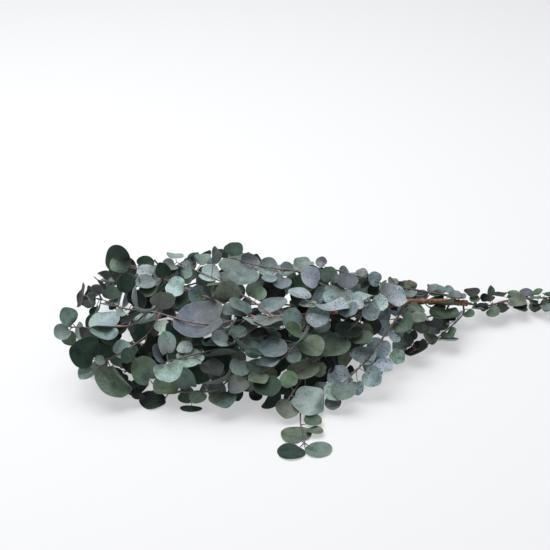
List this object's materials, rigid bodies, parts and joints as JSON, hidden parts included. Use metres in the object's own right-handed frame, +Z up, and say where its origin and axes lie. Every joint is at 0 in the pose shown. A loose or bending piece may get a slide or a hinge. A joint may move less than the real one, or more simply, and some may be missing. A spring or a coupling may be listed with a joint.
{
  "type": "eucalyptus branch",
  "caption": "Cut and dried eucalyptus branch lying flat, with a forked woody stem and round, grey-green opposite leaves.",
  "frame": {"origin": "on the surface that the branch lies on, below the middle of its box", "axes": "+X along the branch toward its cut end and tail, +Y to the back, away from the front sprig, +Z up"},
  "size_m": [0.6161, 0.342, 0.1192],
  "materials": {
    "bark": "matt bark",
    "leaf_mint": "matt with a waxy bloom",
    "leaf_olive": "matt with a waxy bloom",
    "leaf_blue": "matt with a waxy bloom"
  },
  "bodies": {
    "root": {"woody_stem": "bark", "pink_stem": "leaf_mint", "top_spray": "leaf_mint", "top_left_stem": "leaf_mint", "top_centre_stem": "leaf_mint", "back_right_stem": "leaf_blue", "pale_stem": "leaf_blue", "low_centre_stem": "leaf_mint", "middle_stem": "leaf_olive", "olive_stem": "leaf_olive", "blue_stem": "leaf_blue", "thin_stem": "leaf_blue", "under_stem": "leaf_blue", "front_sprig": "leaf_olive", "left_low_stem": "leaf_olive", "left_down_stem": "leaf_mint", "left_tip_stem": "leaf_mint", "tail_stem": "leaf_blue", "back_left_stem": "leaf_mint", "back_middle_stem": "leaf_mint", "back_top_stem": "leaf_mint", "inner_low_stem": "leaf_mint", "inner_left_stem": "leaf_olive", "under_front_stem": "leaf_olive", "back_right_low_stem": "leaf_mint", "left_fork_stem": "leaf_mint"}
  },
  "joints": []
}
